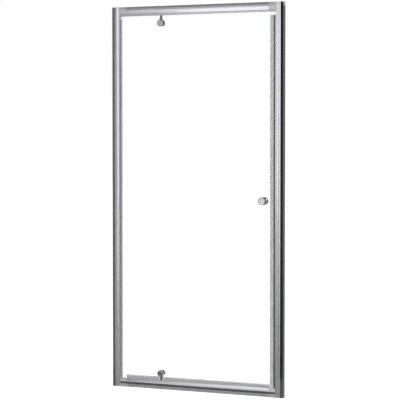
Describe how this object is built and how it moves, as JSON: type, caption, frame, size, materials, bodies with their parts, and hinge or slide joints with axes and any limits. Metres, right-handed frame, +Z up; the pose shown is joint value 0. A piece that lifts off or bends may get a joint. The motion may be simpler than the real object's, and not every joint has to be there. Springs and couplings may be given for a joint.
{
  "type": "pivot shower door",
  "caption": "Framed alcove shower door: clear glass pane turning on inset top and bottom pivots, silver profiles, round knob, magnetic closing seal.",
  "frame": {"origin": "middle of the door's foot on the tray, in the glass's mid plane", "axes": "+X to the closing side as seen from the room, +Y from the room into the shower, +Z up"},
  "size_m": [0.9, 0.045, 1.85],
  "materials": {
    "satin_aluminium": "bright anodised silver",
    "polished_chrome": "polished",
    "zinc_steel": "plain",
    "clear_glass": "clear, polished edges",
    "clear_seal": "clear grey soft strip",
    "magnet_strip": "matt, flexible magnet",
    "grey_moulding": "satin silver grey",
    "bearing_plastic": "smooth",
    "gasket_rubber": "matt"
  },
  "bodies": {
    "frame": {"wall_channel_left": "satin_aluminium", "post_left": "satin_aluminium", "jamb_cap_left": "grey_moulding", "snap_caps_left": "grey_moulding", "corner_joint_top_left": "grey_moulding", "corner_joint_bottom_left": "grey_moulding", "fixing_screws_left": "zinc_steel", "corner_screws_top_left": "zinc_steel", "corner_screws_bottom_left": "zinc_steel", "wall_channel_right": "satin_aluminium", "post_right": "satin_aluminium", "jamb_cap_right": "grey_moulding", "snap_caps_right": "grey_moulding", "corner_joint_top_right": "grey_moulding", "corner_joint_bottom_right": "grey_moulding", "fixing_screws_right": "zinc_steel", "corner_screws_top_right": "zinc_steel", "corner_screws_bottom_right": "zinc_steel", "top_rail": "satin_aluminium", "bottom_rail": "satin_aluminium", "strike_magnet": "magnet_strip", "top_pivot_bush": "bearing_plastic", "bottom_pivot_bush": "bearing_plastic", "top_pivot_block": "bearing_plastic", "bottom_pivot_block": "bearing_plastic"},
    "door": {"glass_pane": "clear_glass", "top_pivot_stem": "polished_chrome", "top_clamp_front": "polished_chrome", "top_clamp_back": "polished_chrome", "top_clamp_screw": "zinc_steel", "top_gasket_front": "gasket_rubber", "top_gasket_back": "gasket_rubber", "bottom_pivot_stem": "polished_chrome", "bottom_clamp_front": "polished_chrome", "bottom_clamp_back": "polished_chrome", "bottom_clamp_screw": "zinc_steel", "bottom_gasket_front": "gasket_rubber", "bottom_gasket_back": "gasket_rubber", "knob_front": "polished_chrome", "knob_back": "polished_chrome", "knob_washer_front": "gasket_rubber", "knob_washer_back": "gasket_rubber", "knob_stud": "zinc_steel", "closing_seal": "clear_seal", "hinge_seal": "clear_seal", "drip_seal_short": "clear_seal", "drip_seal_long": "clear_seal", "closing_magnet": "magnet_strip"}
  },
  "joints": [
    {"name": "door_swing", "type": "hinge", "parent": "frame", "child": "door", "pos_m": [-0.19, 0, 0.0425], "axis": [0, 0, -1], "range_deg": [0, 90]}
  ]
}
